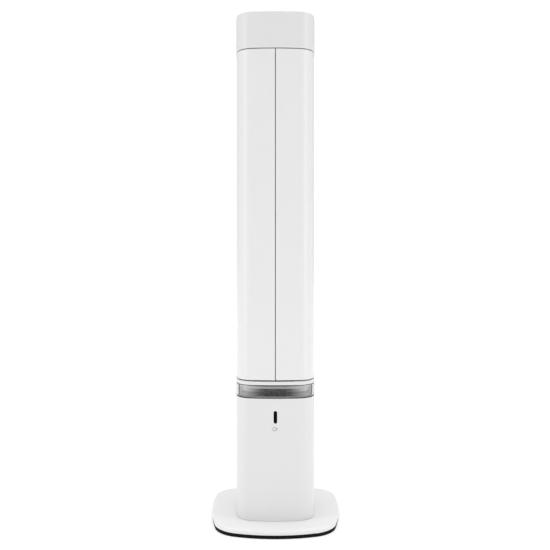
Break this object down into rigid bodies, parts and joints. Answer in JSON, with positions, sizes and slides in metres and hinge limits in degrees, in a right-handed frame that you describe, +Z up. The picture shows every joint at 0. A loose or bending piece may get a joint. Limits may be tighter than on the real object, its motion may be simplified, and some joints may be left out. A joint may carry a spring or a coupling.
{
  "type": "air purifier",
  "caption": "Slender tower air purifier with two tall hinged front doors, a lit clear band, a turning column on a wide flat base and a pull-off filter cover behind.",
  "frame": {"origin": "on the floor, under the middle of the base", "axes": "+Z up along the column, -Y towards the front with the doors, +X to the right seen from the front"},
  "size_m": [0.262, 0.262, 1.0154],
  "materials": {
    "white_shell": "satin injection-moulded shell",
    "white_door": "satin moulded door skin",
    "foot_rubber": "moulded rubber",
    "steel": "zinc plated sheet and bar",
    "screw_steel": "zinc plated",
    "bearing_steel": "polished",
    "brass": "sintered bush",
    "motor_steel": "satin coated can",
    "dark_plastic": "fine texture",
    "grey_plastic": "fine texture",
    "light_plastic": "fine texture",
    "gear_plastic": "natural acetal",
    "wheel_plastic": "glass filled nylon",
    "circuit_board": "solder mask",
    "black_gloss": "polished black window",
    "panel_gloss": "polished panel",
    "key_plastic": "soft satin",
    "clear_plastic": "clear moulded ring",
    "smoked_film": "smoked acrylic film",
    "filter_paper": "pleated filter sheet"
  },
  "bodies": {
    "base": {"base_plate": "white_shell", "foot_ring": "foot_rubber", "base_weight": "steel", "base_cover": "dark_plastic", "base_screws": "screw_steel", "pivot_tube": "steel", "retaining_clip": "steel", "ball_cage": "dark_plastic", "thrust_balls": "bearing_steel", "fixed_gear": "gear_plastic"},
    "pinion": {"oscillation_pinion": "gear_plastic"},
    "left_door": {"left_door": "white_door", "left_door_pins": "steel"},
    "right_door": {"right_door": "white_door", "right_door_pins": "steel"},
    "fan_wheel": {"crossflow_wheel": "wheel_plastic", "wheel_shaft": "steel"},
    "rear_cover": {"rear_cover": "white_shell"},
    "filter": {"filter_frame": "light_plastic", "filter_media": "filter_paper", "pre_filter": "grey_plastic"},
    "power_key": {"power_key": "key_plastic"},
    "speed_key": {"speed_key": "key_plastic"},
    "swing_key": {"swing_key": "key_plastic"},
    "tower": {"lower_housing": "white_shell", "lower_floor": "grey_plastic", "pivot_bush": "brass", "motor_bracket": "steel", "tower_screws": "screw_steel", "oscillation_motor": "motor_steel", "electronics_bracket": "steel", "control_board": "circuit_board", "power_supply": "circuit_board", "sensor_window": "black_gloss", "sensor_board": "circuit_board", "power_inlet": "dark_plastic", "light_ring": "clear_plastic", "light_tray": "grey_plastic", "light_core": "dark_plastic", "light_reflector": "grey_plastic", "indicator_film": "smoked_film", "led_board": "circuit_board", "rim_ring": "white_shell", "lower_deck": "grey_plastic", "lower_bearing": "brass", "hinge_bushes": "brass", "upper_deck": "grey_plastic", "rear_shell": "white_shell", "left_side_frame": "light_plastic", "right_side_frame": "light_plastic", "rear_frame": "grey_plastic", "scroll_wall": "light_plastic", "tongue_wall": "light_plastic", "outlet_grille": "light_plastic", "door_motors": "motor_steel", "top_cap": "white_shell", "control_panel": "panel_gloss", "display_window": "black_gloss", "key_board": "circuit_board", "fan_motor": "motor_steel"}
  },
  "joints": [
    {"name": "oscillation", "type": "hinge", "parent": "base", "child": "tower", "pos_m": [0, 0, 0.02], "axis": [0, 0, 1], "range_deg": [-45, 45]},
    {"name": "pinion_turn", "type": "hinge", "parent": "tower", "child": "pinion", "pos_m": [0, 0.03625, 0.034], "axis": [0, 0, 1], "range_deg": [-226, 226]},
    {"name": "right_door_hinge", "type": "hinge", "parent": "tower", "child": "right_door", "pos_m": [0.0748, 0, 0.6], "axis": [0, 0, 1], "range_deg": [0, 80]},
    {"name": "left_door_hinge", "type": "hinge", "parent": "tower", "child": "left_door", "pos_m": [-0.0748, 0, 0.6], "axis": [0, 0, 1], "range_deg": [-80, 0]},
    {"name": "fan_spin", "type": "hinge", "parent": "tower", "child": "fan_wheel", "pos_m": [0, -0.008, 0.6], "axis": [0, 0, 1], "continuous": true},
    {"name": "rear_cover_slide", "type": "slide", "parent": "tower", "child": "rear_cover", "axis": [0, 1, 0], "range_m": [0, 0.2]},
    {"name": "filter_slide", "type": "slide", "parent": "tower", "child": "filter", "axis": [0, 1, 0], "range_m": [0, 0.1]},
    {"name": "power_key_press", "type": "slide", "parent": "tower", "child": "power_key", "axis": [0, 0, -1], "range_m": [0, 0.0008], "stiffness_N_per_m": 400},
    {"name": "speed_key_press", "type": "slide", "parent": "tower", "child": "speed_key", "axis": [0, 0, -1], "range_m": [0, 0.0008], "stiffness_N_per_m": 400},
    {"name": "swing_key_press", "type": "slide", "parent": "tower", "child": "swing_key", "axis": [0, 0, -1], "range_m": [0, 0.0008], "stiffness_N_per_m": 400}
  ],
  "couplings": [
    {"joint": "pinion_turn", "follows": "oscillation", "ratio": 5},
    {"joint": "left_door_hinge", "follows": "right_door_hinge", "ratio": -1},
    {"joint": "filter_slide", "follows": "rear_cover_slide", "ratio": 0.5}
  ]
}
